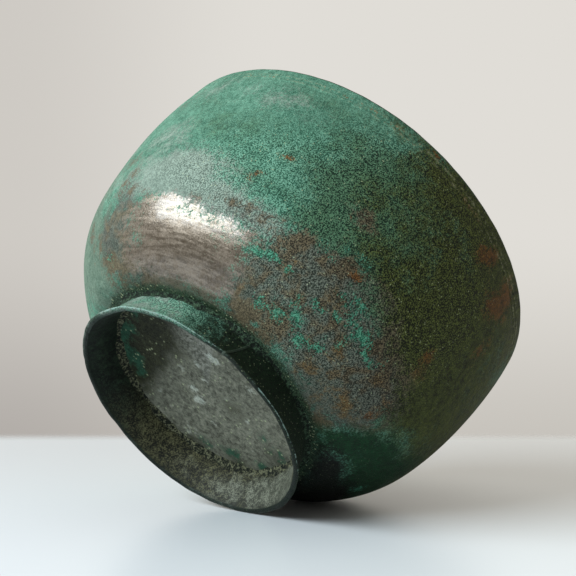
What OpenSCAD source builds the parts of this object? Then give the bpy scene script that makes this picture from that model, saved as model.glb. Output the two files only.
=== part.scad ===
// Footed bowl in raised sheet copper, standing on a flared foot band.
// Origin at the centre of the foot's standing face, +Z up along the bowl's axis.
// Millimetres.

/* [Bowl] */
// Largest outside diameter of the bowl
bowl_d = 160; // [144:1:192]
// Height of the rim above the standing face
bowl_h = 100; // [83:1:120]
// How far below the rim the bowl is widest
widest_below_rim = 17; // [8:1:24]
// Diameter of the flat base, at its sharp corner
base_d = 101; // [92:1:112]
// Radius of the wall's long curve
wall_r = 165; // [150:1:220]
// Radius of the curve from the wall down to the base
belly_r = 47; // [40:1:54]
// Radius that rounds the corner between that curve and the flat base
heel_r = 12; // [8:1:14]
// Thickness of the raised sheet
sheet_t = 2; // [1.2:0.1:3]

/* [Rim] */
// Thickness of the rim
rim_t = 3; // [2.2:0.1:4]
// Depth of the thickened band at the rim
rim_band = 9; // [5:0.5:14]
// Distance from the rim down to the first turned line
line_drop = 4; // [3:0.5:6]
// Distance from one turned line to the next
line_pitch = 2; // [1.5:0.5:4]
// Width of a turned line
line_w = 0.8; // [0.5:0.1:1.2]
// Number of turned lines
line_count = 2; // [1:1:3]

/* [Foot] */
// How far the top of the foot stands inside the base's corner
foot_inset = 8.5; // [7:0.5:14]
// How far the standing edge flares outside the top of the foot
foot_spread = 5.5; // [1:0.5:9]
// Height of the foot
foot_h = 14; // [10:1:20]
// Radius of the foot band's hollow flare
flare_r = 32; // [24:1:60]
// Thickness of the foot strip
foot_t = 1.8; // [1.2:0.1:2.6]

/* [Joining metal] */
// Width of the braze where the strip's two ends meet
joint_gap = 1; // [0.6:0.1:2]
// Lean of that joint from upright, in degrees
joint_lean = 25; // [0:5:40]
// Place of that joint round the foot, in degrees from +X
joint_angle = 5; // [0:5:355]
// Reach of the outer solder fillet
outer_fillet = 2; // [1:0.1:2.6]
// Reach of the inner solder fillet
inner_fillet = 2.4; // [1:0.1:4]

/* [Hidden] */
$fn = 96;
arc_steps = 12;
body_colour = [0.25, 0.42, 0.33];
foot_colour = [0.22, 0.36, 0.28];
braze_colour = [0.45, 0.42, 0.28];
solder_colour = [0.38, 0.42, 0.38];

// centre of the wall's long curve
wall_c = [bowl_d / 2 - wall_r, bowl_h - widest_below_rim];

// centre of the belly curve, which touches the wall's curve and passes the base's corner
corner = [base_d / 2, foot_h] - wall_c;
reach = wall_r - belly_r;
along = (reach * reach - belly_r * belly_r + corner * corner) / (2 * norm(corner));
aside = sqrt(reach * reach - along * along);
toward = corner / norm(corner);
belly_c = wall_c + along * toward + aside * [-toward.y, toward.x];

// centre of the heel, which touches the belly curve and the flat base
heel_rise = belly_c.y - foot_h - heel_r;
heel_c = [belly_c.x + sqrt(pow(belly_r - heel_r, 2) - pow(heel_rise, 2)), foot_h + heel_r];

// angles at which one curve hands over to the next
heel_to_belly = angle_of(heel_c - belly_c);
belly_to_wall = angle_of(belly_c - wall_c);
wall_to_rim = asin((bowl_h - rim_t / 2 - wall_c.y) / (wall_r - rim_t / 2));
band_start = wall_to_rim - rim_band / wall_r * 180 / PI;

// the foot's outer face runs from its standing edge up to the base
foot_top = [base_d / 2 - foot_inset, foot_h];
foot_edge = [foot_top.x + foot_spread, 0];

// centre of the foot band's flare, on the outer side of the band
foot_chord = foot_top - foot_edge;
flare_depth = sqrt(flare_r * flare_r - foot_chord * foot_chord / 4);
flare_c = (foot_edge + foot_top) / 2 + flare_depth * [foot_chord.y, -foot_chord.x] / norm(foot_chord);

function angle_of(v) = atan2(v.y, v.x);
function on_arc(c, r, a) = c + r * [cos(a), sin(a)];
function arc(c, r, a0, a1) = [for (i = [0 : arc_steps]) on_arc(c, r, a0 + (a1 - a0) * i / arc_steps)];

// radius of the bowl's outside wall at height z, near the rim
function wall_at(z) = wall_c.x + sqrt(pow(wall_r, 2) - pow(z - wall_c.y, 2));
// sheet thickness through the rim band, swelling from the sheet to the rim
function band_t(s) = sheet_t + (rim_t - sheet_t) * (1 - cos(180 * s)) / 2;
// radius of the foot band at height z, at depth t inside its outer face
function foot_at(z, t) = flare_c.x - sqrt(pow(flare_r + t, 2) - pow(z - flare_c.y, 2));
function foot_face(t, z0, z1) =
    [for (i = [0 : arc_steps]) let (z = z0 + (z1 - z0) * i / arc_steps) [foot_at(z, t), z]];

module bowl_outline() {
    outside = concat(
        [[0, foot_h]],
        arc(heel_c, heel_r, -90, heel_to_belly),
        arc(belly_c, belly_r, heel_to_belly, belly_to_wall),
        arc(wall_c, wall_r, belly_to_wall, wall_to_rim));
    rim_c = on_arc(wall_c, wall_r - rim_t / 2, wall_to_rim);
    rim = arc(rim_c, rim_t / 2, wall_to_rim, wall_to_rim + 180);
    band = [for (i = [arc_steps : -1 : 0])
        let (s = i / arc_steps)
        on_arc(wall_c, wall_r - band_t(s), band_start + (wall_to_rim - band_start) * s)];
    inside = concat(
        arc(wall_c, wall_r - sheet_t, band_start, belly_to_wall),
        arc(belly_c, belly_r - sheet_t, belly_to_wall, heel_to_belly),
        arc(heel_c, heel_r - sheet_t, heel_to_belly, -90),
        [[0, foot_h + sheet_t]]);
    polygon(concat(outside, rim, band, inside));
}

module foot_band() {
    rotate_extrude()
        polygon(concat(foot_face(0, 0, foot_h), foot_face(foot_t, foot_h, 0)));
}

// the slanting cut between the two ends of the foot strip
module joint_slot() {
    rotate([0, 0, joint_angle])
        translate([foot_edge.x, 0, foot_h / 2])
            rotate([joint_lean, 0, 0])
                cube([foot_edge.x, joint_gap, foot_h * 2], center = true);
}

module bowl_body() {
    color(body_colour)
        difference() {
            rotate_extrude()
                bowl_outline();
            for (i = [0 : line_count - 1]) {
                line_z = bowl_h - line_drop - i * line_pitch;
                rotate_extrude()
                    translate([wall_at(line_z), line_z])
                        circle(d = line_w, $fn = 24);
            }
        }
}

module foot_ring() {
    color(foot_colour)
        difference() {
            foot_band();
            joint_slot();
        }
}

module foot_joint_braze() {
    color(braze_colour)
        intersection() {
            foot_band();
            joint_slot();
        }
}

// a fillet whose hollow touches the base and the outer face of the foot band
module outer_solder() {
    hollow_z = foot_h - outer_fillet;
    hollow_c = [foot_at(hollow_z, -outer_fillet), hollow_z];
    touch = angle_of(hollow_c - flare_c);
    touch_z = on_arc(hollow_c, outer_fillet, touch).y;
    color(solder_colour)
        rotate_extrude()
            polygon(concat(foot_face(0, touch_z, foot_h), arc(hollow_c, outer_fillet, 90, touch + 360)));
}

// a fillet whose hollow touches the base and the inner face of the foot band
module inner_solder() {
    hollow_z = foot_h - inner_fillet;
    hollow_c = [foot_at(hollow_z, foot_t + inner_fillet), hollow_z];
    touch = angle_of(flare_c - hollow_c);
    touch_z = on_arc(hollow_c, inner_fillet, touch).y;
    color(solder_colour)
        rotate_extrude()
            polygon(concat(foot_face(foot_t, touch_z, foot_h), arc(hollow_c, inner_fillet, 90, touch)));
}

bowl_body();
foot_ring();
foot_joint_braze();
outer_solder();
inner_solder();
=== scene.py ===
"""Footed bowl in raised copper sheet with a green patina, tipped onto its foot and belly on a pale table.

The object's own frame has the bowl upright, so the table is a plane that leans against the foot's edge
and the belly. Angles round the bowl are in degrees from +X, anticlockwise seen from above. Lengths are in
metres unless a name ends in _mm.
"""
import math

import bpy
import numpy as np
from mathutils import Matrix, Vector


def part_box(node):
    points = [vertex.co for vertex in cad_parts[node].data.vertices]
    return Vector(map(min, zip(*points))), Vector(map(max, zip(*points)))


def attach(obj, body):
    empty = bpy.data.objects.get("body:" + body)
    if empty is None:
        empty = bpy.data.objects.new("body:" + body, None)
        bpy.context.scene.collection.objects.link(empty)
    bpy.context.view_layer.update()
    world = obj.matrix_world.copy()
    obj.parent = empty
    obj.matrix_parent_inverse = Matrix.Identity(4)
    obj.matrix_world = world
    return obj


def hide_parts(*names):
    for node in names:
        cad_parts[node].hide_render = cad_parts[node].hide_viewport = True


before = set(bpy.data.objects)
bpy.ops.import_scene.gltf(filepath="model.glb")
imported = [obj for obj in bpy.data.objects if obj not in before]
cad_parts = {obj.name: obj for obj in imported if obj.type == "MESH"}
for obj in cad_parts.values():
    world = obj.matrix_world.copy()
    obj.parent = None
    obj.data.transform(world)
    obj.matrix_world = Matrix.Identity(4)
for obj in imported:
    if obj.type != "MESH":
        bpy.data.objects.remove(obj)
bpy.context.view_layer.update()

MM = 0.001

# ---------------------------------------------------------------- sizes, from the frame
bowl_low, bowl_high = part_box("bowl_body")
foot_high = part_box("foot_ring")[1]

BOWL_R = bowl_high.y
RIM_Z = bowl_high.z
BASE_Z = bowl_low.z
FOOT_R = foot_high.y

# curves of the bowl's outline, as drawn in the CAD part
WIDEST_BELOW_RIM = 0.017
WALL_R = 0.165
BELLY_R = 0.047
HEEL_R = 0.012
BASE_R = 0.0505
SHEET = 0.002
RIM_T = 0.003
RIM_BAND = 0.009
LINE_COUNT = 2
LINE_DROP = 0.004
LINE_PITCH = 0.002
LINE_HALF = 0.0005
LINE_DEEP = 0.0002

# curves of the foot band
FOOT_TOP_R = 0.042
FLARE_R = 0.032
FOOT_T = 0.0018

# how fine the meshes are: steps round the bowl, and the radius of the innermost ring of the flat base
SEGMENTS = 440
POLE_R = 0.0004


# ---------------------------------------------------------------- outline helpers
def arc(centre, radius, start, end, step):
    """Points along an arc from angle start to angle end, in radians, about one every step."""
    count = max(2, int(abs(end - start) * radius / step))
    turn = np.linspace(start, end, count + 1)
    return np.stack([centre[0] + radius * np.cos(turn), centre[1] + radius * np.sin(turn)], 1)


def line(start, end, step):
    """Points along a straight run, about one every step."""
    count = max(1, int(math.dist(start, end) / step))
    share = np.linspace(0, 1, count + 1)[:, None]
    return np.array(start) * (1 - share) + np.array(end) * share


def joined(*runs):
    """One outline from several runs, without the doubled points where they meet."""
    points = np.concatenate(runs)
    keep = np.r_[True, np.hypot(*np.diff(points, axis=0).T) > 1e-6]
    return points[keep]


def angle_of(v):
    return math.atan2(v[1], v[0])


def outline_normals(points):
    """Unit normals of an outline, to its right."""
    along = np.gradient(points, axis=0)
    along /= np.linalg.norm(along, axis=1, keepdims=True)
    return np.stack([along[:, 1], -along[:, 0]], 1)


# ---------------------------------------------------------------- the bowl's outline
wall_c = np.array([BOWL_R - WALL_R, RIM_Z - WIDEST_BELOW_RIM])
corner = np.array([BASE_R, BASE_Z]) - wall_c
reach = WALL_R - BELLY_R
corner_far = np.linalg.norm(corner)
along = (reach**2 - BELLY_R**2 + corner_far**2) / (2 * corner_far)
aside = math.sqrt(reach**2 - along**2)
toward = corner / corner_far
belly_c = wall_c + along * toward + aside * np.array([-toward[1], toward[0]])
heel_rise = belly_c[1] - BASE_Z - HEEL_R
heel_c = np.array([belly_c[0] + math.sqrt((BELLY_R - HEEL_R) ** 2 - heel_rise**2), BASE_Z + HEEL_R])
heel_to_belly = angle_of(heel_c - belly_c)
belly_to_wall = angle_of(belly_c - wall_c)
wall_to_rim = math.asin((RIM_Z - RIM_T / 2 - wall_c[1]) / (WALL_R - RIM_T / 2))
band_start = wall_to_rim - RIM_BAND / WALL_R
lines_start = wall_to_rim - (LINE_DROP + (LINE_COUNT - 1) * LINE_PITCH + 2 * LINE_HALF) / WALL_R


def band_arc():
    """The inside of the thickened rim, from the rim down to the plain sheet."""
    share = np.linspace(1, 0, 12)
    depth = SHEET + (RIM_T - SHEET) * (1 - np.cos(math.pi * share)) / 2
    turn = band_start + (wall_to_rim - band_start) * share
    return wall_c + (WALL_R - depth)[:, None] * np.stack([np.cos(turn), np.sin(turn)], 1)


rim_c = wall_c + (WALL_R - RIM_T / 2) * np.array([math.cos(wall_to_rim), math.sin(wall_to_rim)])

# each run's last number is the spacing of its points
outside = joined(
    line((POLE_R, BASE_Z), (heel_c[0], BASE_Z), 0.0014),
    arc(heel_c, HEEL_R, -math.pi / 2, heel_to_belly, 0.001),
    arc(belly_c, BELLY_R, heel_to_belly, belly_to_wall, 0.0012),
    arc(wall_c, WALL_R, belly_to_wall, lines_start, 0.0013),
    arc(wall_c, WALL_R, lines_start, wall_to_rim, 0.0002),
)
inside = joined(
    band_arc(),
    arc(wall_c, WALL_R - SHEET, band_start, belly_to_wall, 0.002),
    arc(belly_c, BELLY_R - SHEET, belly_to_wall, heel_to_belly, 0.002),
    arc(heel_c, HEEL_R - SHEET, heel_to_belly, -math.pi / 2, 0.0018),
    line((heel_c[0], BASE_Z + SHEET), (POLE_R, BASE_Z + SHEET), 0.0024),
)
rim_arc = arc(rim_c, RIM_T / 2, wall_to_rim, wall_to_rim + math.pi, 0.0004)
bowl_outline = joined(outside, rim_arc, inside)


# ---------------------------------------------------------------- uneven hand-made surface
def waves(rng, turn, s, lobes, drift, size):
    """Smooth unevenness round the bowl: a few waves with whole lobes, so it closes on itself."""
    total = np.zeros(np.broadcast(turn, s).shape)
    for m in lobes:
        phase, lean = rng.uniform(0, 2 * math.pi), rng.uniform(-drift, drift)
        total += np.cos(m * turn + phase + lean * s) / len(lobes)
    return size * total


def blobs(turn_deg, height_mm, spots):
    """Soft round marks: angle, height in mm, half width in degrees, half height in mm, strength."""
    total = np.zeros(np.broadcast(turn_deg, height_mm).shape)
    for turn0, height0, wide, high, strength in spots:
        off = (turn_deg - turn0 + 180) % 360 - 180
        total += strength * np.exp(-((off / wide) ** 2) - ((height_mm - height0) / high) ** 2)
    return total


def hammer_marks(rng, turn, s, radius, pitch):
    """0 in the middle of each planishing mark, rising to about 1 where marks meet."""
    rows = int(s.max() / pitch) + 3
    near = np.full(np.broadcast(turn, s).shape, np.inf)
    order = np.argsort(s[:, 0])
    for row in range(-1, rows):
        row_s = (row + 0.5) * pitch
        row_r = float(np.interp(row_s, s[order, 0], radius[order, 0]))
        count = max(6, round(2 * math.pi * row_r / pitch))
        shift = rng.uniform(0, 1, count)
        rise = rng.uniform(-0.3, 0.3, count) * pitch
        cell = turn / (2 * math.pi) * count
        for side in (-1, 0, 1):
            index = (np.floor(cell).astype(int) + side) % count
            mark = np.floor(cell) + side + 0.2 + 0.6 * shift[index]
            across = (cell - mark) * 2 * math.pi * radius / count
            near = np.minimum(near, np.hypot(across, s - row_s - rise[index]) / pitch)
    return np.clip(near, 0, 1.2) ** 2


# ---------------------------------------------------------------- meshes
def new_piece(name, points, faces, smooth=True):
    mesh = bpy.data.meshes.new(name)
    mesh.from_pydata([tuple(p) for p in points], [], faces)
    mesh.update()
    if smooth:
        mesh.shade_smooth()
    piece = bpy.data.objects.new(name, mesh)
    bpy.context.scene.collection.objects.link(piece)
    return piece


def ring_faces(rows, columns, closed_rows):
    """Faces of rows that each close on themselves round the bowl."""
    faces = []
    for i in range(rows if closed_rows else rows - 1):
        a, b = i * columns, (i + 1) % rows * columns
        faces += [(a + j, a + (j + 1) % columns, b + (j + 1) % columns, b + j) for j in range(columns)]
    return faces


def strip_faces(rows, columns):
    """Faces of a closed section swept along a strip, with a cap on each end."""
    faces = []
    for i in range(rows):
        a, b = i * columns, (i + 1) % rows * columns
        faces += [(a + j, b + j, b + j + 1, a + j + 1) for j in range(columns - 1)]
    faces.append(tuple(i * columns for i in reversed(range(rows))))
    faces.append(tuple(i * columns + columns - 1 for i in range(rows)))
    return faces


def add_field(piece, name, values):
    """A number per vertex that the material reads."""
    attribute = piece.data.attributes.new(name, "FLOAT", "POINT")
    attribute.data.foreach_set("value", np.asarray(values, np.float32).ravel())


# ---------------------------------------------------------------- the bowl
# how uneven the sheet is: the inside has a share of it, reversed, and the last is a share of the radius
HAMMER_PITCH = 0.0095
HAMMER_DEEP = 0.00006
SHEET_WAVE = 0.00016
INSIDE_SHARE = -0.4
CALM_FLOOR_R = 0.015
LINE_WANDER = 0.00025
RIM_WAVE = 0.00035
RIM_NICK = 0.00012
RIM_WORN = 0.0003
OUT_OF_ROUND = 0.0035


def bowl_shape():
    """The bowl as rows round its outline, with the uneven surface of hand-made sheet."""
    rng = np.random.default_rng(7)
    points = bowl_outline
    rows = len(points)
    turn = np.linspace(0, 2 * math.pi, SEGMENTS, endpoint=False)[None, :]
    s = np.r_[0, np.cumsum(np.linalg.norm(np.diff(points, axis=0), axis=1))][:, None]
    normal = outline_normals(points)
    radius = points[:, :1] + 0 * turn
    height = points[:, 1:] + 0 * turn
    height_mm = height / MM
    degrees = np.degrees(turn) + 0 * height

    is_outside = (np.arange(rows) < len(outside))[:, None]
    # the unevenness fades out towards the flat base, the rim and the middle of the floor
    wall = np.clip((height_mm - 14.5) / 4, 0, 1) * np.clip((99 - height_mm) / 6, 0.15, 1)
    wall = wall * np.clip(radius / CALM_FLOOR_R, 0, 1)
    marks = hammer_marks(rng, turn + 0 * s, s + 0 * turn, points[:, :1], HAMMER_PITCH)
    push = HAMMER_DEEP * (marks - 0.45)
    push = push + waves(rng, turn, s * 60, (3, 5, 8, 13), 3, SHEET_WAVE)
    push = push + MM * blobs(degrees, height_mm, DENTS)
    push = push * wall
    push = np.where(is_outside, push, INSIDE_SHARE * push)

    lowest_line = WALL_R * (wall_to_rim - lines_start)
    end_s = s[len(outside) - 1, 0]
    for k in range(LINE_COUNT):
        line_s = end_s - lowest_line + LINE_HALF + k * LINE_PITCH
        wander = waves(rng, turn, s * 0, (2, 5, 9), 0, LINE_WANDER)
        depth = LINE_DEEP * (0.75 + waves(rng, turn, s * 0, (3, 7, 17), 0, 0.5))
        push = push - is_outside * depth * np.exp(-(((s - line_s - wander) / LINE_HALF) ** 2))

    rim = np.exp(-(((height_mm - 99.5) / 2.2) ** 2))
    rise = waves(rng, turn, s * 0, (2, 3, 5), 0, RIM_WAVE)
    rise = rise + waves(rng, turn, s * 0, (19, 31, 43, 67), 0, RIM_NICK)
    radius = radius + normal[:, :1] * push
    height = height + normal[:, 1:] * push + rim * (rise - RIM_WORN)
    stretch = 1 + waves(rng, turn, s * 0, (2, 3), 0, OUT_OF_ROUND) * np.clip(height_mm / 60, 0, 1)
    radius = radius * stretch
    x, y = radius * np.cos(turn), radius * np.sin(turn)
    grid = np.stack([x, y, height], 2).reshape(-1, 3)
    centre_out, centre_in = len(grid), len(grid) + 1
    grid = np.vstack([grid, [0, 0, BASE_Z], [0, 0, BASE_Z + SHEET]])
    faces = [tuple(reversed(f)) for f in ring_faces(rows, SEGMENTS, False)]
    last = (rows - 1) * SEGMENTS
    faces += [((j + 1) % SEGMENTS, j, centre_out) for j in range(SEGMENTS)]
    faces += [(last + j, last + (j + 1) % SEGMENTS, centre_in) for j in range(SEGMENTS)]
    fields = {
        "degrees": degrees.ravel(),
        "height": height_mm.ravel(),
        "inner": (1 - is_outside + 0 * degrees).ravel(),
    }
    fields = {name: np.r_[v, v[0], v[-1]] for name, v in fields.items()}
    return grid, faces, fields


# dents and bumps, as spots for blobs(): the last number is the push outward in mm
DENTS = [
    (-65, 40, 6, 5, 0.35),
    (-36, 52, 10, 7, -0.15),
    (24, 56, 12, 9, 0.15),
    (62, 70, 9, 8, -0.2),
    (-12, 74, 14, 8, 0.12),
    (128, 45, 11, 9, 0.25),
    (205, 60, 13, 10, -0.25),
    (262, 38, 9, 7, 0.2),
]

# where each finish lies on the outside, as spots for blobs()
BARE = [
    (-54, 24, 7, 6, 0.6), (-44, 28, 7, 5, 0.8), (-40, 22, 9, 7, 0.9), (-30, 24, 9, 7, 0.9),
    (-20, 22, 9, 7, 0.9), (-10, 22, 6, 7, 0.7), (-50, 17, 9, 3, 0.6), (-30, 16, 14, 3, 0.7),
    (-14, 16, 9, 3, 0.6), (-38, 31.5, 4, 1.6, 0.6), (-28, 31, 3, 1.2, 0.4), (-14, 29.5, 8, 2.5, 0.6),
    (-34, 31, 8, 2, 0.3), (152, 24, 10, 6, 0.9), (168, 22, 9, 4, 0.8), (238, 30, 7, 5, 0.7),
]
BROWN = [
    (-62, 20, 10, 6, 0.8), (-40, 15, 16, 3, 0.9), (-18, 33, 9, 4, 0.4), (-34, 32, 10, 3, 0.35),
    (-50, 30, 6, 4, 0.45), (-2, 22, 6, 9, 0.8), (-20, 18, 14, 5, 0.9), (-44, 18, 14, 5, 0.8),
    (-60, 27, 8, 8, 0.6), (8, 26, 10, 8, 0.9), (20, 30, 12, 8, 0.9), (32, 26, 12, 9, 0.9),
    (44, 24, 10, 10, 0.8), (8, 35, 7, 5, 0.6), (17, 39, 7, 5, 0.6), (-58, 33, 5, 13, 0.38),
    (-80, 27, 3, 6, 0.5), (-12, 35, 6, 4, 0.38), (11, 56, 4, 3.5, 0.8), (2, 37, 6, 3, 0.5),
    (54, 26, 10, 8, 0.8), (28, 42, 8, 4, 0.4), (-68, 24, 5, 5, 0.5), (2, 16, 8, 4, 0.7),
    (16, 17, 8, 4, 0.8), (30, 17, 9, 4, 0.9), (44, 17, 9, 5, 0.9), (58, 18, 8, 5, 0.7),
    (-66, 52, 5, 6, 0.4), (112, 62, 9, 14, 0.6), (143, 36, 9, 8, 0.6), (190, 76, 10, 12, 0.6),
    (225, 42, 8, 9, 0.7), (300, 80, 5, 7, 0.3),
]
ORANGE = [
    (34, 23, 5, 3, 0.7), (-3, 18, 3, 2, 0.7), (7, 31, 4, 2, 0.6), (46, 28, 4, 2, 0.6),
    (52, 20, 5, 2.5, 0.6), (33, 33, 4, 2, 0.4), (36, 16.5, 9, 3, 0.5), (50, 17, 8, 3, 0.4),
    (52, 42, 3, 4, 0.6), (57, 27, 3, 3, 0.7), (-26, 17, 8, 2, 0.4), (20, 30, 3, 2, 0.4),
    (215, 50, 5, 4, 0.6), (160, 80, 4, 6, 0.5),
]
RUST = [
    (20, 40, 2.2, 2.0, 1.0), (14, 97, 2.5, 1.2, 0.9), (43, 90, 2.4, 5, 1.0), (40, 86, 2.4, 4, 0.8),
    (56, 88, 4.5, 8, 1.0), (52, 80, 4, 5, 0.8), (62, 70, 2.5, 6, 0.7), (50, 45, 2, 5, 0.6),
    (58, 28, 2, 2, 0.7), (58, 23, 1.6, 1.4, 0.8), (-17, 49, 1.6, 1.4, 0.9), (-19, 46, 2.0, 1.2, 0.6),
    (-14, 59, 3.2, 1.4, 0.6), (-10, 61, 1.6, 0.9, 0.5), (-40, 94, 9, 1.3, 0.3), (-8, 95, 12, 1.0, 0.4),
    (28, 93, 7, 1.2, 0.4), (9, 54, 1.5, 1.5, 0.5), (118, 90, 3, 6, 0.8), (175, 50, 2, 4, 0.7),
    (214, 88, 4, 4, 0.7), (250, 63, 2, 3, 0.7),
]
CRUST = [
    (-5, 27, 3.5, 1.2, 1.0), (0, 28.5, 3.6, 1.4, 1.0), (6, 28, 2.0, 1.2, 0.8),
    (18, 26.5, 2.8, 1.6, 0.9), (13, 24, 3, 2, 0.5), (4, 18, 2.8, 1.4, 0.9), (11, 18.5, 3.6, 1.6, 0.9),
    (16, 21, 3.6, 1.6, 0.9), (22, 18, 3.4, 1.8, 1.0), (28, 20, 2.6, 2.0, 0.9), (25, 36, 3.6, 1.2, 0.6),
    (33, 30, 4, 1.4, 0.8), (39, 28, 4, 1.4, 0.8), (24, 28, 2.4, 1.6, 0.8), (31, 24.5, 2.0, 1.8, 0.6),
    (14, 45, 5, 2.5, 0.5), (20, 44, 3, 4, 0.5), (8, 40, 3, 3, 0.5), (27, 33, 2.5, 4, 0.6),
    (22, 33, 3.5, 2, 0.7), (34, 32, 4, 2, 0.6), (31, 27.5, 3, 1.6, 0.6), (43, 31, 3, 3, 0.4),
    (12, 38, 3, 2, 0.4), (-3, 42, 4, 2, 0.4), (-66, 18, 4, 2, 0.5), (-70, 30, 6, 4, 0.35),
    (100, 24, 4, 2.5, 0.9), (140, 19, 6, 2.2, 0.9), (182, 30, 3, 2, 0.8), (232, 22, 5, 2.5, 0.9),
    (262, 30, 3, 2.4, 0.7),
]
PALE = [
    (-50, 40, 18, 7, 0.8), (-36, 46, 14, 7, 0.8), (-75, 45, 14, 12, 0.3), (-30, 82, 20, 10, 0.3),
    (-52, 60, 10, 8, 0.4), (-22, 36, 11, 5, 0.9), (-40, 36, 10, 4, 0.9), (-8, 34, 9, 5, 0.8),
    (-24, 32, 8, 3, 0.6), (-56, 32, 6, 4, 0.7), (-50, 85, 16, 8, 0.3), (275, 60, 22, 18, 0.5),
    (205, 40, 12, 8, 0.4),
]
DARK = [
    (36, 66, 14, 30, 0.8), (54, 60, 18, 40, 1.0), (78, 60, 18, 40, 1.0), (20, 78, 8, 20, 0.4),
    (20, 50, 8, 8, 0.4), (38, 44, 12, 8, 0.8), (104, 60, 18, 40, 1.0), (128, 70, 18, 30, 0.7),
    (168, 62, 20, 14, 0.6), (230, 78, 18, 14, 0.4), (48, 34, 8, 6, 0.6), (60, 36, 8, 9, 0.8),
    (12, 92, 14, 9, 0.4), (31, 94, 14, 9, 0.7), (44, 95, 12, 9, 1.0), (62, 95, 14, 10, 0.9),
    (2, 97, 8, 4, 0.5), (8, 64, 6, 8, 0.3),
]
DEEP = [
    (4, 62, 9, 22, 0.7), (12, 66, 10, 26, 1.0), (22, 62, 10, 30, 1.0), (12, 46, 12, 8, 0.9),
    (-4, 78, 8, 10, 0.3), (30, 40, 8, 8, 0.8), (-16, 88, 10, 5, 0.4), (-28, 70, 8, 6, 0.3),
    (-38, 64, 11, 7, 0.4), (-10, 60, 12, 6, 0.4), (-48, 77, 9, 5, 0.35), (-20, 48, 10, 4, 0.35),
    (120, 50, 30, 30, 0.6), (200, 60, 30, 30, 0.5),
]
FLANK = [
    (-84, 30, 20, 22, 1.0), (-95, 60, 20, 20, 0.8), (-76, 20, 14, 8, 0.7), (250, 30, 14, 12, 0.8),
]
# painted shade where the lower belly nears the table beside the foot, laid as near black
CONTACT_SHADE_SPOTS = [
    (108, 18, 24, 7, 1.0), (134, 22, 18, 9, 0.9), (84, 15, 14, 2.5, 0.8),
]
LOW = [
    (78, 24, 14, 9, 1.0), (100, 24, 14, 10, 1.0), (124, 26, 14, 10, 1.0), (66, 17, 8, 4, 0.7),
    (92, 40, 10, 9, 0.5),
]
GRAINY = [
    (-14, 52, 26, 18, 0.9), (18, 52, 26, 26, 1.0), (-10, 34, 16, 8, 0.8), (-35, 42, 14, 7, 0.5),
    (20, 24, 24, 12, 0.9), (12, 80, 20, 18, 0.8), (38, 60, 20, 28, 0.9), (50, 25, 12, 10, 0.5),
]

# the underside within the foot, in mm: x, y, half width, strength
UNDER_PALE = [
    (-11, -1, 2.4, 1.3), (-7, -5, 1.8, 1.0), (17, -1, 1.8, 1.1), (17, -4, 1.6, 1.0), (8, -7, 1.8, 0.8),
    (15, 14, 2.5, 0.8), (-1, -12, 2.0, 0.6), (-24, -15, 7, 0.35), (-33, 0, 6, 0.3), (4, 8, 6, 0.25),
    (-17, 27, 2.5, 0.5), (7, 33, 2, 0.5), (-19, 7, 2.5, 0.6), (24, 4, 2.5, 0.6), (26, 12, 2.5, 0.7),
    (21, 21, 2.5, 0.6), (2, -2, 2, 0.5), (-3, 18, 2, 0.4),
]
UNDER_TEAL = [
    (-3, -38, 6, 0.9), (-14, -33, 6, 0.9), (-20, -27, 4, 0.6), (-28, 18, 5, 0.6), (-22, 32, 6, 0.7),
    (-10, 36, 5, 0.5), (10, -38, 6, 0.5), (-33, 8, 5, 0.5), (-6, 26, 5, 0.4), (28, 20, 4, 0.4),
]
# painted shade in the foot's hollow, darkest along the band on one side
UNDER_SHADE_SPOTS = [
    (-22, -32, 13, 1.0), (-10, -36, 12, 1.1), (4, -33, 13, 1.0), (20, -28, 11, 0.8), (-6, -25, 9, 0.5),
    (30, -14, 6, 0.4), (-40, 4, 7, 0.7), (-32, 22, 8, 0.6), (-14, 36, 9, 0.6), (30, 24, 7, 0.5),
    (-2, 12, 8, 0.3), (8, -20, 8, 0.35), (-14, -8, 4, 0.3),
]

# the dark crust's reach round the foot, and the heights where dust lies in the turned lines
SEAM_REACH_MM = 4.8
DUSTY_LINES_MM = (95.3, 93.2)


def flat_blobs(x_mm, y_mm, spots):
    """Soft round marks on the flat underside."""
    return sum(w * np.exp(-((x_mm - x) ** 2 + (y_mm - y) ** 2) / r**2) for x, y, r, w in spots)


def build_bowl():
    grid, faces, fields = bowl_shape()
    bowl = new_piece("bowl_body_visual", grid, faces)
    degrees, height, outer = fields["degrees"], fields["height"], 1 - fields["inner"]
    for name, spots in (
        ("bare", BARE), ("brown", BROWN), ("orange", ORANGE), ("rust", RUST), ("crust", CRUST),
        ("pale", PALE), ("dark", DARK), ("deep", DEEP), ("contact_shade", CONTACT_SHADE_SPOTS), ("flank", FLANK),
        ("low", LOW), ("grainy", GRAINY),
    ):
        add_field(bowl, name, blobs(degrees, height, spots) * outer)
    x_mm, y_mm = grid[:, 0] / MM, grid[:, 1] / MM
    radius_mm = np.hypot(x_mm, y_mm)
    under = (radius_mm < FOOT_TOP_R / MM - 1) * (height < BASE_Z / MM + 0.5) * outer
    for name, spots in (
        ("under_pale", UNDER_PALE), ("under_teal", UNDER_TEAL), ("under_shade", UNDER_SHADE_SPOTS)
    ):
        add_field(bowl, name, flat_blobs(x_mm, y_mm, spots) * under)
    add_field(bowl, "under", under)
    from_foot = np.hypot(radius_mm - FOOT_TOP_R / MM, np.maximum(0, height - BASE_Z / MM))
    add_field(bowl, "seam", np.exp(-((from_foot / SEAM_REACH_MM) ** 2)) * outer * (1 - under))
    turned = sum(np.exp(-(((height - line_mm) / 0.5) ** 2)) for line_mm in DUSTY_LINES_MM)
    add_field(bowl, "turned", turned * outer)
    add_field(bowl, "inner", fields["inner"])
    return bowl


# ---------------------------------------------------------------- the foot, its joint and the solder
JOINT_DEG = 5
JOINT_LEAN = math.radians(25)
JOINT_GAP = 0.001
BRAZE_CROWN = 0.00022
FOOT_TOP = BASE_Z
EDGE_R = 0.0007

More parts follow.
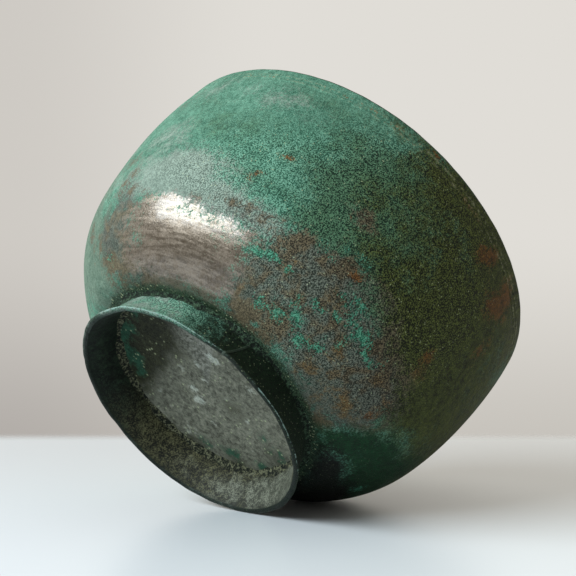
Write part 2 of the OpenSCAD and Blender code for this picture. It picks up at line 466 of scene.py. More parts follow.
# rows of the band's section: down the outer face, round the standing edge, up the inner face
DOWN_ROWS = 22
EDGE_ROWS = 7
UP_ROWS = 16

# how the band stands off true, and the height over which its edge is worn
LEANS_TOWARD = math.radians(101)
TILT = 0.0005
OFF_CENTRE = 0.0007
BAND_WAVE = 0.0003
BAND_GRAIN = 0.00006
EDGE_WAVE = 0.00008
EDGE_WEAR = 0.0018

foot_mid = np.array([(FOOT_TOP_R + FOOT_R) / 2, FOOT_TOP / 2])
foot_chord = np.array([FOOT_R - FOOT_TOP_R, -FOOT_TOP])
foot_rise = math.sqrt(FLARE_R**2 - (np.linalg.norm(foot_chord) / 2) ** 2)
flare_c = foot_mid + foot_rise * np.array([-foot_chord[1], foot_chord[0]]) / np.linalg.norm(foot_chord)


def foot_at(z, depth):
    """Radius of the foot band at a height, measured a depth in from its outer face."""
    return flare_c[0] - np.sqrt((FLARE_R + depth) ** 2 - (z - flare_c[1]) ** 2)


def foot_outline():
    """The band's section as a loop: down the outer face, round the standing edge, up the inner face."""
    down = np.linspace(FOOT_TOP, EDGE_R, DOWN_ROWS)
    up = np.linspace(EDGE_R, FOOT_TOP, UP_ROWS)
    out_r, in_r = foot_at(EDGE_R, 0), foot_at(EDGE_R, FOOT_T)
    turn = np.linspace(0, -math.pi, EDGE_ROWS + 2)[1:-1]
    edge_r = (out_r + in_r) / 2 + (out_r - in_r) / 2 * np.cos(turn)
    edge = np.stack([edge_r, EDGE_R + EDGE_R * np.sin(turn)], 1)
    return np.vstack(
        [np.stack([foot_at(down, 0), down], 1), edge, np.stack([foot_at(up, FOOT_T), up], 1)]
    )


# wear on the standing edge: angle, 0, half width in degrees, 1, rise in mm
CHIPS = [
    (7, 0, 6, 1, 0.55), (-22, 0, 3, 1, 0.2), (-48, 0, 2, 1, 0.3), (-75, 0, 4, 1, 0.2),
    (38, 0, 5, 1, 0.2), (86, 0, 3, 1, 0.3), (160, 0, 5, 1, 0.25), (212, 0, 4, 1, 0.35),
    (251, 0, 2, 1, 0.3),
]
# where the edge is worn bright: angle, 0, half width in degrees, 1, strength
WORN = [
    (-62, 0, 12, 1, 0.8), (-40, 0, 14, 1, 1.0), (-20, 0, 16, 1, 1.0), (0, 0, 5, 1, 0.5),
    (30, 0, 12, 1, 0.8), (48, 0, 12, 1, 0.7), (66, 0, 8, 1, 0.5), (128, 0, 16, 1, 0.9),
    (150, 0, 9, 1, 0.6), (205, 0, 9, 1, 0.4),
]


def foot_warp(points, turn):
    """The band as it really stands: a little off centre, tilted, wavy, and worn along its edge."""
    rng = np.random.default_rng(21)
    radius = points[:, :1] + 0 * turn
    height = points[:, 1:] + 0 * turn
    low = 1 - height / FOOT_TOP
    degrees = np.degrees(turn) + 0 * height
    push = waves(rng, turn, height * 60, (3, 7, 12), 4, BAND_WAVE)
    push = push + waves(rng, turn, height * 200, (23, 37, 51), 8, BAND_GRAIN)
    tilt = -TILT * np.cos(turn - LEANS_TOWARD)
    worn = MM * blobs(degrees, 0 * height, CHIPS)
    worn = worn + waves(rng, turn, 0 * height, (7, 13, 29), 0, EDGE_WAVE)
    rise = tilt * low + np.exp(-height / EDGE_WEAR) * worn
    radius = radius + push * (0.3 + 0.7 * low)
    x = radius * np.cos(turn) + OFF_CENTRE * low * math.cos(LEANS_TOWARD)
    y = radius * np.sin(turn) + OFF_CENTRE * low * math.sin(LEANS_TOWARD)
    return np.stack([x, y, height + rise], 2), degrees, height / MM


def joint_turn(points):
    """Where the slanting joint crosses the band, for each height."""
    return math.radians(JOINT_DEG) + points[:, 1:] * math.tan(JOINT_LEAN) / FOOT_R


def build_foot():
    points = foot_outline()
    start = joint_turn(points)
    gap = JOINT_GAP / FOOT_R
    share = np.linspace(0, 1, SEGMENTS + 1)[None, :]
    turn = start + gap / 2 + (2 * math.pi - gap) * share
    grid, degrees, height = foot_warp(points, turn)
    rows, columns = turn.shape
    foot = new_piece("foot_ring_visual", grid.reshape(-1, 3), strip_faces(rows, columns))
    foot.data.set_sharp_from_angle(angle=math.radians(70))
    row = np.arange(rows)
    row_edge = np.exp(-(((row - DOWN_ROWS - 0.2) / 0.8) ** 2))
    # the standing face of the band, darkened with painted shade
    shaded_sole_rows = np.exp(-(((row - DOWN_ROWS - 4.3) / 3.4) ** 2))
    add_field(foot, "inner", np.repeat((row >= DOWN_ROWS + EDGE_ROWS).astype(float), columns))
    worn = np.clip(blobs(degrees, 0 * height, WORN), 0, 1)
    add_field(foot, "edge", row_edge[:, None] * worn)
    add_field(foot, "shaded_sole", shaded_sole_rows[:, None] * (1 - 0.2 * worn))
    for name, spots in (
        ("dark", FOOT_DARK), ("teal", FOOT_TEAL), ("light", FOOT_INNER_LIT_SPOTS), ("inner_shade", FOOT_INNER_SHADE_SPOTS)
    ):
        add_field(foot, name, blobs(degrees, height, spots))
    return foot


# where the band is darker and greener outside, and where its inner face has painted light on its lit side
# and painted shade on its shaded side, as spots for blobs()
FOOT_DARK = [
    (-10, 8, 14, 20, 0.45), (8, 8, 14, 20, 0.8), (24, 8, 16, 20, 0.6), (44, 8, 18, 20, 0.9),
    (65, 8, 20, 20, 1.0), (95, 8, 30, 20, 1.0), (130, 8, 30, 20, 0.9), (180, 8, 20, 20, 0.9),
    (215, 8, 20, 20, 0.9), (250, 8, 20, 20, 0.9), (285, 8, 18, 20, 0.6),
]
FOOT_TEAL = [
    (-30, 8, 30, 20, 0.6), (0, 6, 18, 20, 0.8), (200, 8, 40, 20, 0.5), (290, 8, 20, 20, 0.4),
]
# painted light on the lit side of the band's inner face
FOOT_INNER_LIT_SPOTS = [
    (118, 5, 18, 9, 1.0), (146, 4, 14, 7, 0.6), (172, 5, 12, 5, 0.35), (95, 5, 14, 9, 0.9),
    (40, 5, 20, 9, 0.6),
]
# painted shade on the shaded side of the band's inner face
FOOT_INNER_SHADE_SPOTS = [
    (215, 7, 14, 20, 0.35), (240, 7, 20, 20, 0.8), (268, 7, 26, 20, 0.9), (302, 7, 20, 20, 0.7),
]


def build_braze():
    """The joint's filling: a narrow slanting strip, a little proud of the band on both sides."""
    points = foot_outline()
    normal = -outline_normals(points)
    normal[0] = normal[1]
    normal[-1] = normal[-2]
    across = np.linspace(-1, 1, 7)
    crown = BRAZE_CROWN * np.sqrt(np.clip(1.02 - across**2, 0, 1))[None, :]
    turn = joint_turn(points) + across[None, :] * JOINT_GAP / 2 / FOOT_R
    grid = foot_warp(points, turn)[0]
    outward_x, outward_y = normal[:, :1] * np.cos(turn), normal[:, :1] * np.sin(turn)
    outward = np.stack([outward_x, outward_y, normal[:, 1:] + 0 * turn], 2)
    grid = grid + outward * crown[:, :, None]
    return new_piece("foot_joint_braze_visual", grid.reshape(-1, 3), strip_faces(*turn.shape))


# the fillets: how hollow, how rough, and how far they bite into the base and the band
FILLET_HOLLOW = 1.6
SOLDER_GRAIN = 0.00012
INTO_BASE = 0.0002
INTO_BAND = 0.0001
BACK_DEEP = 0.0003


def build_solder(name, face_depth, reach, side, seed):
    """A crusty fillet between the base and one face of the foot band; side is 1 outside and -1 inside."""
    rng = np.random.default_rng(seed)
    turn = np.linspace(0, 2 * math.pi, SEGMENTS, endpoint=False)[None, :]
    share = np.linspace(0, 1, 9)[:, None]
    sway = 1 + waves(rng, turn, share * 0, (5, 9, 14), 0, 0.5)
    sway = sway + waves(rng, turn, share * 0, (23, 37, 53), 0, 0.2)
    bend = (1 - share) ** FILLET_HOLLOW
    drop = share**FILLET_HOLLOW
    grain = waves(rng, turn, share * 8, (23, 37, 53, 71), 6, SOLDER_GRAIN) * np.sin(math.pi * share)
    z = BASE_Z + INTO_BASE - drop * reach * sway
    radius = foot_at(z, face_depth) + side * (bend * reach * sway - INTO_BAND + grain)
    back_z = np.array([[BASE_Z + INTO_BASE]]) + 0 * turn
    back_r = foot_at(back_z, face_depth) - side * BACK_DEEP
    z, radius = np.vstack([z + 0 * turn, back_z]), np.vstack([radius, back_r])
    grid = np.stack([radius * np.cos(turn), radius * np.sin(turn), z], 2).reshape(-1, 3)
    faces = ring_faces(len(share) + 1, SEGMENTS, True)
    if side > 0:
        faces = [tuple(reversed(f)) for f in faces]
    piece = new_piece(name, grid, faces)
    add_field(piece, "lip", np.repeat(np.r_[1 - share[:, 0], 1], SEGMENTS))
    return piece


# ---------------------------------------------------------------- materials
class Tree:
    """Short calls for a material's nodes. Every call returns an output to feed into the next."""

    def __init__(self, name):
        self.material = bpy.data.materials.new(name)
        self.material.use_nodes = True
        self.nodes = self.material.node_tree.nodes
        self.links = self.material.node_tree.links
        self.shader = self.nodes["Principled BSDF"]
        self.space = self.nodes.new("ShaderNodeTexCoord").outputs["Object"]

    def put(self, socket, value):
        """Links an output to a socket, or sets the socket to a number or a colour."""
        if isinstance(value, bpy.types.NodeSocket):
            self.links.new(value, socket)
        elif isinstance(value, tuple) and len(value) == 3 and socket.type == "RGBA":
            socket.default_value = (*value, 1)
        else:
            socket.default_value = value

    def field(self, name):
        node = self.nodes.new("ShaderNodeAttribute")
        node.attribute_name = name
        return node.outputs["Fac"]

    def place(self, offset, stretch=(1, 1, 1)):
        """The piece's own coordinates, moved by an offset so that no two patterns line up."""
        mapping = self.nodes.new("ShaderNodeMapping")
        mapping.inputs["Location"].default_value = (offset, offset * 0.7, offset * 1.3)
        mapping.inputs["Scale"].default_value = stretch
        self.links.new(self.space, mapping.inputs["Vector"])
        return mapping.outputs["Vector"]

    def noise(self, size, detail=4, rough=0.6, warp=0.0, offset=0.0, stretch=(1, 1, 1)):
        """Noise with marks about size millimetres across, about 0 to 1 with 0.5 in the middle."""
        node = self.nodes.new("ShaderNodeTexNoise")
        node.noise_dimensions = "3D"
        self.links.new(self.place(offset, stretch), node.inputs["Vector"])
        node.inputs["Scale"].default_value = 1000 / size
        node.inputs["Detail"].default_value = detail
        node.inputs["Roughness"].default_value = rough
        node.inputs["Distortion"].default_value = warp
        return self.step(node.outputs["Fac"], 0.3, 0.7)

    def cells(self, size, offset=0.0):
        """Distance to the nearest of many scattered points about size millimetres apart, 0 to about 1."""
        node = self.nodes.new("ShaderNodeTexVoronoi")
        self.links.new(self.place(offset), node.inputs["Vector"])
        node.inputs["Scale"].default_value = 1000 / size
        node.inputs["Randomness"].default_value = 1.0
        return node.outputs["Distance"]

    def math(self, kind, a, b):
        node = self.nodes.new("ShaderNodeMath")
        node.operation = kind
        self.put(node.inputs[0], a)
        self.put(node.inputs[1], b)
        return node.outputs[0]

    def step(self, value, low, high, out_low=0.0, out_high=1.0):
        """A smooth step: out_low below low, out_high above high."""
        node = self.nodes.new("ShaderNodeMapRange")
        node.interpolation_type = "SMOOTHSTEP"
        self.put(node.inputs["Value"], value)
        node.inputs["From Min"].default_value = low
        node.inputs["From Max"].default_value = high
        node.inputs["To Min"].default_value = out_low
        node.inputs["To Max"].default_value = out_high
        return node.outputs["Result"]

    def ragged(self, field, noise, amount, low, high):
        """Turns a soft field into a patch with natural ragged edges, and 0 where the field has ended."""
        shifted = self.math("ADD", field, self.math("MULTIPLY", self.math("SUBTRACT", noise, 0.5), amount))
        return self.math("MULTIPLY", self.step(shifted, low, high), self.step(field, 0.02, 0.25))

    def mix(self, share, a, b):
        node = self.nodes.new("ShaderNodeMix")
        node.data_type = "RGBA"
        self.put(node.inputs["Factor"], share)
        self.put(node.inputs[6], a)
        self.put(node.inputs[7], b)
        return node.outputs[2]

    def lay(self, pair, over, mask, strength=1.0):
        """A pair of colours, dark and light grain, with another pair laid over it where the mask is 1."""
        share = self.math("MULTIPLY", mask, strength)
        return self.mix(share, pair[0], over[0]), self.mix(share, pair[1], over[1])

    def blend(self, share, a, b):
        node = self.nodes.new("ShaderNodeMix")
        node.data_type = "FLOAT"
        self.put(node.inputs["Factor"], share)
        self.put(node.inputs["A"], a)
        self.put(node.inputs["B"], b)
        return node.outputs["Result"]

    def bump(self, height, distance_mm, strength=1.0):
        node = self.nodes.new("ShaderNodeBump")
        node.inputs["Distance"].default_value = distance_mm * MM
        self.put(node.inputs["Strength"], strength)
        self.put(node.inputs["Height"], height)
        return node.outputs["Normal"]

    def finish(self, colour, rough, metal=0.0, normal=None):
        """Sets the shader's main inputs and returns the finished material."""
        self.put(self.shader.inputs["Base Color"], colour)
        self.put(self.shader.inputs["Roughness"], rough)
        self.put(self.shader.inputs["Metallic"], metal)
        if normal is not None:
            self.put(self.shader.inputs["Normal"], normal)
        return self.material


def srgb(r, g, b):
    """An sRGB colour in 0 to 255 as a linear colour."""
    def channel(c):
        c /= 255
        return c / 12.92 if c <= 0.04045 else ((c + 0.055) / 1.055) ** 2.4

    return channel(r), channel(g), channel(b)


# each finish, and the painted light and shade, as a dark and a light grain
TEAL = srgb(30, 78, 60), srgb(106, 154, 132)
TEAL_DEEP = srgb(8, 48, 34), srgb(72, 124, 100)
GREEN_DARK = srgb(4, 22, 12), srgb(76, 110, 80)
GREY_GREEN = srgb(84, 98, 88), srgb(142, 157, 145)
OLIVE = srgb(2, 6, 1), srgb(84, 93, 44)
BROWN_OXIDE = srgb(30, 31, 25), srgb(98, 99, 90)
BRONZE = srgb(76, 66, 54), srgb(120, 109, 96)
ORANGE_BROWN = srgb(50, 39, 16), srgb(112, 88, 50)
RUST_BROWN = srgb(44, 26, 8), srgb(118, 78, 36)
FLANK_GREEN = srgb(60, 80, 66), srgb(110, 126, 110)
LOW_GREEN = srgb(3, 22, 8), srgb(22, 66, 38)
CRUST_GREEN = srgb(18, 78, 56), srgb(86, 148, 122)
SEAM_GREEN = srgb(6, 18, 9), srgb(60, 84, 62)
UNDER_GREY = srgb(34, 37, 28), srgb(130, 132, 117)
UNDER_WHITE = srgb(100, 108, 97), srgb(182, 188, 176)
UNDER_TEALS = srgb(6, 28, 18), srgb(42, 86, 66)
# painted shade in the foot's hollow
UNDER_SHADE = srgb(5, 10, 3), srgb(56, 58, 40)
FOOT_INSIDE = srgb(5, 8, 1), srgb(84, 84, 58)
INNER_CRUST = srgb(14, 20, 12), srgb(104, 106, 82)
INSIDE = srgb(24, 28, 16), srgb(72, 88, 66)
FOOT_GREEN = srgb(16, 60, 44), srgb(112, 158, 136)
# the band's inner face with painted light
FOOT_INNER_LIT = srgb(44, 47, 38), srgb(108, 112, 98)
# the band's inner face with painted shade
FOOT_INNER_SHADE = srgb(2, 5, 2), srgb(34, 50, 34)
FOOT_SHADE = srgb(2, 7, 3), srgb(26, 44, 26)
# painted shade by the table contact
CONTACT_SHADE = srgb(1, 3, 1), srgb(10, 18, 10)
BROWN_WARM = srgb(35, 29, 17), srgb(104, 90, 64)
DUST = srgb(150, 150, 122)
SPECK = srgb(164, 174, 138)
# dark pits, and painted shade on the foot's standing face
BLACK_PITS_AND_SOLE_SHADE = srgb(4, 14, 8)
PALE_CYAN = srgb(128, 154, 146)


def body_material():
    t = Tree("patinated_sheet_body")
    broad = t.noise(22, 3, 0.55)
    middle = t.noise(6, 4, 0.6, 0.3, offset=3)
    small = t.noise(2.0, 4, 0.7, 0.2, offset=7)
    grain = t.noise(0.5, 2, 0.7, offset=11)
    fine = t.noise(0.8, 3, 0.75, offset=14)
    streak = t.noise(5, 4, 0.6, 0.2, offset=5, stretch=(1, 1, 0.3))
    hoops = t.noise(0.7, 3, 0.6, 0.1, offset=9, stretch=(0.08, 0.08, 1))
    edge = t.blend(0.35, t.blend(0.4, middle, small), fine)
    soft = t.blend(0.4, t.blend(0.5, broad, middle), fine)

    # the finishes and the painted shade from the ground up, each a pair of dark and light grain
    pair = TEAL
    pair = t.lay(pair, TEAL_DEEP, t.step(t.blend(0.5, broad, middle), 0.4, 0.8), 0.5)
    pair = t.lay(pair, GREEN_DARK, t.ragged(t.field("deep"), soft, 0.9, 0.0, 1.0), 0.85)
    pair = t.lay(pair, GREY_GREEN, t.ragged(t.field("pale"), soft, 1.2, 0.2, 0.9), 0.9)
    flank = t.ragged(t.field("flank"), t.blend(0.4, streak, fine), 1.0, 0.2, 0.9)
    pair = t.lay(pair, FLANK_GREEN, flank, 0.85)
    olive = t.ragged(t.field("dark"), soft, 1.3, -0.05, 1.1)
    pair = t.lay(pair, OLIVE, olive)
    brown = t.ragged(t.field("brown"), edge, 1.6, 0.05, 0.9)
    pair = t.lay(pair, BROWN_OXIDE, brown, 0.9)
    warm = t.math("MULTIPLY", brown, t.step(t.blend(0.4, middle, broad), 0.35, 0.75))
    pair = t.lay(pair, BROWN_WARM, warm, 0.75)
    pair = t.lay(pair, ORANGE_BROWN, t.ragged(t.field("orange"), edge, 1.3, 0.2, 1.0), 0.8)
    pair = t.lay(pair, LOW_GREEN, t.ragged(t.field("low"), soft, 1.1, 0.2, 0.8))
    # painted shade by the table contact, near black
    pair = t.lay(pair, CONTACT_SHADE, t.ragged(t.field("contact_shade"), soft, 0.8, 0.2, 0.9))
    rust = t.ragged(t.field("rust"), t.blend(0.4, t.blend(0.5, middle, small), fine), 1.7, 0.3, 0.9)
    pair = t.lay(pair, RUST_BROWN, rust, 0.9)
    pair = t.lay(pair, INSIDE, t.field("inner"))
    bare = t.ragged(t.field("bare"), t.blend(0.5, t.blend(0.6, middle, small), fine), 1.2, 0.3, 0.95)
    pair = t.lay(pair, BRONZE, bare)
    seam = t.ragged(t.field("seam"), t.blend(0.5, small, fine), 0.8, 0.3, 0.7)
    pair = t.lay(pair, SEAM_GREEN, seam, 0.95)
    crust = t.ragged(t.field("crust"), t.blend(0.6, small, fine), 1.3, 0.5, 0.8)
    pair = t.lay(pair, CRUST_GREEN, crust)
    under = t.field("under")
    pair = t.lay(pair, UNDER_GREY, under)
    patch = t.blend(0.4, middle, small)
    # painted shade in the foot's hollow
    pair = t.lay(pair, UNDER_SHADE, t.ragged(t.field("under_shade"), patch, 0.9, 0.1, 0.9))
    pair = t.lay(pair, UNDER_TEALS, t.ragged(t.field("under_teal"), patch, 1.0, 0.3, 0.8), 0.9)
    pair = t.lay(pair, UNDER_WHITE, t.ragged(t.field("under_pale"), patch, 0.9, 0.3, 0.9), 0.9)

    # how the dark and the light grain are mixed in each finish
    spread = t.step(t.math("ADD", t.field("grainy"), seam), 0.1, 0.9)
    crystals = t.blend(0.18, grain, small)
    salt = t.blend(olive, t.step(crystals, 0.33, 0.67), t.step(crystals, 0.38, 0.78))
    calm = t.blend(0.5, middle, small)
    salt = t.blend(t.blend(spread, 0.4, 1.0), t.blend(olive, calm, t.math("MULTIPLY", calm, 0.7)), salt)
    salt = t.blend(bare, salt, t.step(t.blend(0.4, hoops, grain), 0.1, 0.9))
    cloudy = t.step(t.blend(0.25, t.blend(0.65, middle, small), fine), 0.05, 0.95, 0.12, 0.88)
    salt = t.blend(under, salt, cloudy)
    colour = t.mix(salt, *pair)

    # dust in the turned lines, pale specks, flakes by the foot, chalk on the underside, and dark pits
    lines = t.math("MULTIPLY", t.field("turned"), t.step(t.blend(0.5, small, fine), 0.45, 0.8, 0, 0.5))
    colour = t.mix(lines, colour, DUST)

    skin = t.math("MULTIPLY", t.math("SUBTRACT", 1, bare), t.math("SUBTRACT", 1, under))
    dots = t.step(t.cells(1.2), 0.1, 0.22, 1, 0)
    dots = t.math("MULTIPLY", dots, t.step(small, 0.45, 0.75))
    dots = t.math("MULTIPLY", dots, t.math("MULTIPLY", skin, t.blend(spread, 0.2, 0.8)))
    flakes = t.step(t.cells(1.5, offset=8), 0.14, 0.3, 1, 0)
    flakes = t.math("MULTIPLY", flakes, t.math("MULTIPLY", seam, t.step(middle, 0.3, 0.7, 0.2, 0.95)))
    dots = t.math("MAXIMUM", dots, flakes)
    chalk = t.step(t.cells(2.2, offset=21), 0.1, 0.3, 1, 0)
    chalk = t.math("MULTIPLY", chalk, t.math("MULTIPLY", under, t.step(middle, 0.4, 0.8, 0, 0.6)))
    dots = t.math("MAXIMUM", dots, chalk)
    colour = t.mix(dots, colour, SPECK)
    pits = t.step(t.cells(0.9, offset=4), 0.14, 0.28, 1, 0)
    pits = t.math("MULTIPLY", pits, t.step(fine, 0.45, 0.75))
    pits = t.math("MULTIPLY", pits, t.math("MULTIPLY", skin, t.blend(spread, 0.2, 0.8)))
    colour = t.mix(pits, colour, BLACK_PITS_AND_SOLE_SHADE)

    # rough crusty patina, and a smoother bare patch with a thin gloss
    relief = t.math("ADD", t.math("MULTIPLY", middle, 0.2), t.math("MULTIPLY", small, 0.3))
    relief = t.math("ADD", relief, t.math("MULTIPLY", grain, 0.3))
    relief = t.math("ADD", relief, t.math("MULTIPLY", crust, 0.8))
    relief = t.math("SUBTRACT", relief, t.math("MULTIPLY", pits, 0.4))
    normal = t.bump(relief, 0.3, t.blend(bare, 1.0, 0.25))
    rough = t.blend(bare, t.blend(grain, 0.55, 0.8), t.blend(small, 0.18, 0.34))
    t.shader.inputs["Specular IOR Level"].default_value = 0.16
    t.put(t.shader.inputs["Coat Weight"], t.math("MULTIPLY", bare, t.step(small, 0.1, 0.8, 0.1, 0.45)))
    t.shader.inputs["Coat Roughness"].default_value = 0.2
    t.shader.inputs["Coat IOR"].default_value = 1.8
    return t.finish(colour, rough, t.math("MULTIPLY", bare, 0.5), normal)


def foot_material():
    t = Tree("patinated_foot_band")
    middle = t.noise(4.5, 4, 0.62, 0.4, offset=13)
    small = t.noise(1.5, 4, 0.7, 0.3, offset=17)
    grain = t.noise(0.5, 2, 0.7, offset=19)
    inner = t.field("inner")
    patch = t.blend(0.5, middle, small)
    pair = GREY_GREEN
    pair = t.lay(pair, FOOT_GREEN, t.ragged(t.field("teal"), patch, 0.9, 0.2, 0.8))
    pair = t.lay(pair, FOOT_SHADE, t.ragged(t.field("dark"), patch, 0.7, 0.1, 0.9))
    pair = t.lay(pair, FOOT_INSIDE, inner)
    # painted light on the lit side of the band's inner face
    light = t.ragged(t.field("light"), middle, 0.5, 0.1, 0.9)
    pair = t.lay(pair, FOOT_INNER_LIT, t.math("MULTIPLY", light, inner))
    # painted shade on the shaded side of the band's inner face
    inner_shade = t.ragged(t.field("inner_shade"), patch, 0.6, 0.1, 0.9)
    pair = t.lay(pair, FOOT_INNER_SHADE, t.math("MULTIPLY", inner_shade, inner))
    salt = t.step(t.blend(0.2, grain, small), 0.33, 0.67)
    inner_salt = t.blend(0.45, t.blend(0.55, middle, small), grain)
    salt = t.blend(inner, salt, t.step(inner_salt, 0.3, 0.85))
    colour = t.mix(salt, *pair)
    # painted shade on the band's standing face
    colour = t.mix(t.math("MULTIPLY", t.field("shaded_sole"), 0.85), colour, BLACK_PITS_AND_SOLE_SHADE)
    worn = t.ragged(t.field("edge"), small, 0.8, 0.35, 0.8)
    colour = t.mix(t.math("MULTIPLY", worn, 0.7), colour, PALE_CYAN)
    dots = t.step(t.cells(1.1, offset=2), 0.1, 0.24, 1, 0)
    dots = t.math("MULTIPLY", dots, t.step(small, 0.35, 0.7, 0, 0.7))
    rounded = t.math("MAXIMUM", t.field("edge"), t.field("shaded_sole"))
    outer_face = t.math("SUBTRACT", 1, t.math("MAXIMUM", inner, rounded))
    dots = t.math("MULTIPLY", dots, outer_face)
    colour = t.mix(dots, colour, SPECK)
    relief = t.math("ADD", t.math("MULTIPLY", middle, 0.3), t.math("MULTIPLY", small, 0.4))
    relief = t.math("ADD", relief, t.math("MULTIPLY", grain, 0.3))
    t.shader.inputs["Specular IOR Level"].default_value = 0.2
    return t.finish(colour, t.blend(grain, 0.55, 0.8), 0.0, t.bump(relief, 0.3, t.blend(inner, 1.0, 0.4)))


def solder_material(name, pair, lip_strength):
    t = Tree(name)
    small = t.noise(1.4, 5, 0.65, 0.3, offset=23)
    grain = t.noise(0.5, 2, 0.7, offset=29)
    colour = t.mix(t.step(t.blend(0.4, small, grain), 0.4, 0.8), *pair)
    lip = t.ragged(t.field("lip"), small, 0.4, 0.8, 1.0)
    colour = t.mix(t.math("MULTIPLY", lip, lip_strength), colour, PALE_CYAN)
    relief = t.math("ADD", small, t.math("MULTIPLY", grain, 0.5))
    t.shader.inputs["Specular IOR Level"].default_value = 0.2
    return t.finish(colour, 0.75, 0.0, t.bump(relief, 0.35))


def braze_material():
    t = Tree("braze_line")
    small = t.noise(1.2, 4, 0.6, 0.2, offset=31)
    colour = t.mix(small, srgb(14, 30, 20), srgb(46, 62, 44))
    return t.finish(colour, 0.6, 0.0, t.bump(small, 0.2))


# ---------------------------------------------------------------- camera, table and light
# the camera's place and its axes, the table's upward direction, and the point that the light aims at
CAMERA_AT = Vector((0.4867, 0.0916, -0.2693))
FORWARD = Vector((-0.8109, -0.1576, 0.5635))
UP = Vector((0.5367, -0.5841, 0.6090))
RIGHT = Vector((0.2331, 0.7962, 0.5582))
TABLE_UP = Vector((0.5734, -0.5762, 0.5824)).normalized()
AWAY = (FORWARD - TABLE_UP * FORWARD.dot(TABLE_UP)).normalized()
SIDE = AWAY.cross(TABLE_UP)
AIM = Vector((0.009, -0.0012, 0.0626))
TABLE_END = 0.2


def add_camera():
    data = bpy.data.cameras.new("camera")
    data.lens = 100
    data.sensor_width = 36
    data.clip_start = 0.01
    camera = bpy.data.objects.new("camera", data)
    bpy.context.scene.collection.objects.link(camera)
    turn = Matrix((RIGHT, UP, -FORWARD)).transposed().to_4x4()
    camera.matrix_world = Matrix.Translation(CAMERA_AT) @ turn
    bpy.context.scene.camera = camera


def add_table(pieces):
    """A table top that leans against the foot's edge and the belly, seen from above only.

    Its far end fades out softly against the wall.
    """
    lowest = min(vertex.co @ TABLE_UP for piece in pieces for vertex in piece.data.vertices)
    foot_point = AIM - TABLE_UP * (AIM.dot(TABLE_UP) - lowest)
    corners = [(-3, -3, 0), (3, -3, 0), (3, TABLE_END, 0), (-3, TABLE_END, 0)]
    table = new_piece("table_top", corners, [(0, 1, 2, 3)], smooth=False)
    axes = Matrix((SIDE, AWAY, TABLE_UP)).transposed().to_4x4()
    table.matrix_world = Matrix.Translation(foot_point) @ axes
    t = Tree("pale_table")
    split = t.nodes.new("ShaderNodeSeparateXYZ")
    t.links.new(t.space, split.inputs[0])
    # the table's colour carries painted light falloff: darker towards the back and the left
    near = t.mix(t.step(split.outputs["X"], -0.11, 0.02), srgb(202, 209, 216), srgb(218, 224, 228))
    far = t.mix(t.step(split.outputs["X"], -0.1, 0.1), srgb(185, 190, 195), srgb(201, 203, 204))
    t.finish(t.mix(t.step(split.outputs["Y"], -0.1, 0.16), near, far), 0.3)
    ghost = t.nodes.new("ShaderNodeBsdfTransparent")
    facing = t.nodes.new("ShaderNodeNewGeometry").outputs["Backfacing"]
    end = t.step(split.outputs["Y"], TABLE_END - 0.03, TABLE_END)
    choose = t.nodes.new("ShaderNodeMixShader")
    t.put(choose.inputs["Fac"], t.math("MAXIMUM", facing, end))
    t.links.new(t.shader.outputs[0], choose.inputs[1])
    t.links.new(ghost.outputs[0], choose.inputs[2])
    t.links.new(choose.outputs[0], t.nodes["Material Output"].inputs["Surface"])
    table.data.materials.append(t.material)


def seen_from_table(turn_deg, rise_deg):
    """A direction from the bowl: turned from the view's right towards its back, and raised."""
    turn, rise = math.radians(turn_deg), math.radians(rise_deg)
    level = SIDE * math.cos(turn) + AWAY * math.sin(turn)
    return level * math.cos(rise) + TABLE_UP * math.sin(rise)


def add_window(name, direction, distance, wide, high, power, colour):
    data = bpy.data.lights.new(name, "AREA")
    data.shape = "RECTANGLE"
    data.size, data.size_y = wide, high
    data.energy = power
    data.color = colour
    lamp = bpy.data.objects.new(name, data)
    bpy.context.scene.collection.objects.link(lamp)
    side = TABLE_UP.cross(direction).normalized()
    turn = Matrix((side, direction.cross(side), direction)).transposed().to_4x4()
    lamp.matrix_world = Matrix.Translation(AIM + direction * distance) @ turn


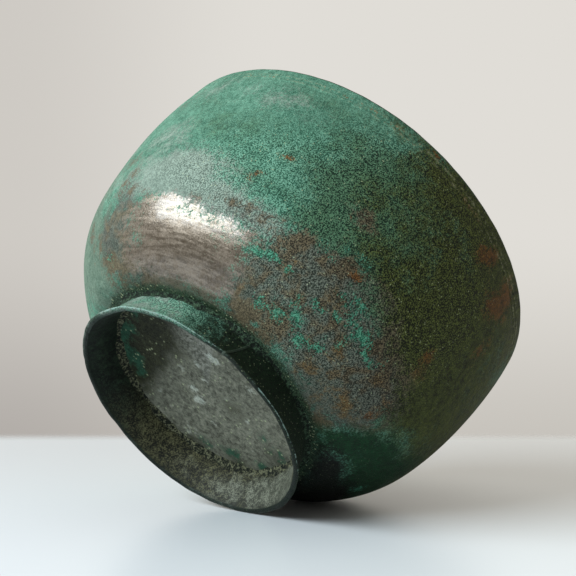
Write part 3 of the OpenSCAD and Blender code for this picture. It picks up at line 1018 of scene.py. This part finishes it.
def add_world():
    """Pale light from all round, brighter from behind, and a wall that only the camera sees, with painted
    light that makes it lighter to the right and higher up.
    """
    world = bpy.data.worlds.new("room")
    bpy.context.scene.world = world
    world.use_nodes = True
    nodes, links = world.node_tree.nodes, world.node_tree.links
    room = nodes["Background"]
    room.inputs["Color"].default_value = (1.0, 0.95, 0.86, 1)
    place = nodes.new("ShaderNodeTexCoord").outputs["Generated"]

    def along(direction, low, high, out_low=0.0, out_high=1.0, kind="LINEAR"):
        dot = nodes.new("ShaderNodeVectorMath")
        dot.operation = "DOT_PRODUCT"
        links.new(place, dot.inputs[0])
        dot.inputs[1].default_value = direction
        ramp = nodes.new("ShaderNodeMapRange")
        ramp.interpolation_type = kind
        links.new(dot.outputs["Value"], ramp.inputs["Value"])
        ramp.inputs["From Min"].default_value = low
        ramp.inputs["From Max"].default_value = high
        ramp.inputs["To Min"].default_value = out_low
        ramp.inputs["To Max"].default_value = out_high
        return ramp.outputs["Result"]

    def mix(share, a, b):
        node = nodes.new("ShaderNodeMix")
        node.data_type = "RGBA"
        links.new(share, node.inputs["Factor"])
        for socket, value in ((node.inputs[6], a), (node.inputs[7], b)):
            if isinstance(value, tuple):
                socket.default_value = (*value, 1)
            else:
                links.new(value, socket)
        return node.outputs[2]

    links.new(along(AWAY, -0.8, 0.8, 0.24, 0.9), room.inputs["Strength"])
    # painted light on the wall: darker low down and to the left
    rightward = along(RIGHT, -0.18, 0.0, kind="SMOOTHSTEP")
    upward = along(UP, -0.12, 0.04, kind="SMOOTHSTEP")
    low = mix(rightward, srgb(175, 170, 165), srgb(196, 192, 185))
    high = mix(rightward, srgb(206, 202, 196), srgb(224, 221, 215))
    wall = nodes.new("ShaderNodeBackground")
    links.new(mix(upward, low, high), wall.inputs["Color"])
    choose = nodes.new("ShaderNodeMixShader")
    links.new(nodes.new("ShaderNodeLightPath").outputs["Is Camera Ray"], choose.inputs["Fac"])
    links.new(room.outputs[0], choose.inputs[1])
    links.new(wall.outputs[0], choose.inputs[2])
    links.new(choose.outputs[0], nodes["World Output"].inputs["Surface"])


# ---------------------------------------------------------------- the scene
bowl = build_bowl()
foot = build_foot()
braze = build_braze()
outer_solder = build_solder("outer_solder_visual", face_depth=0, reach=0.0022, side=1, seed=31)
inner_solder = build_solder("inner_solder_visual", face_depth=FOOT_T, reach=0.0024, side=-1, seed=37)

outer_finish = solder_material("outer_solder_crust", SEAM_GREEN, 0.4)
inner_finish = solder_material("inner_solder_crust", INNER_CRUST, 0.0)
for piece, node, slot, finish in (
    (bowl, "bowl_body", "patinated_sheet", body_material()),
    (foot, "foot_ring", "patinated_foot", foot_material()),
    (braze, "foot_joint_braze", "braze", braze_material()),
    (outer_solder, "outer_solder", "solder", outer_finish),
    (inner_solder, "inner_solder", "solder", inner_finish),
):
    piece.data.materials.append(finish)
    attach(piece, "root")
    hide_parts(node)

add_camera()
add_table([bowl, foot])
add_window("window", seen_from_table(-153, 33), 1.3, 1.3, 0.52, 29.5, (0.86, 0.95, 1.0))
add_world()
bpy.context.scene.view_settings.view_transform = "Standard"
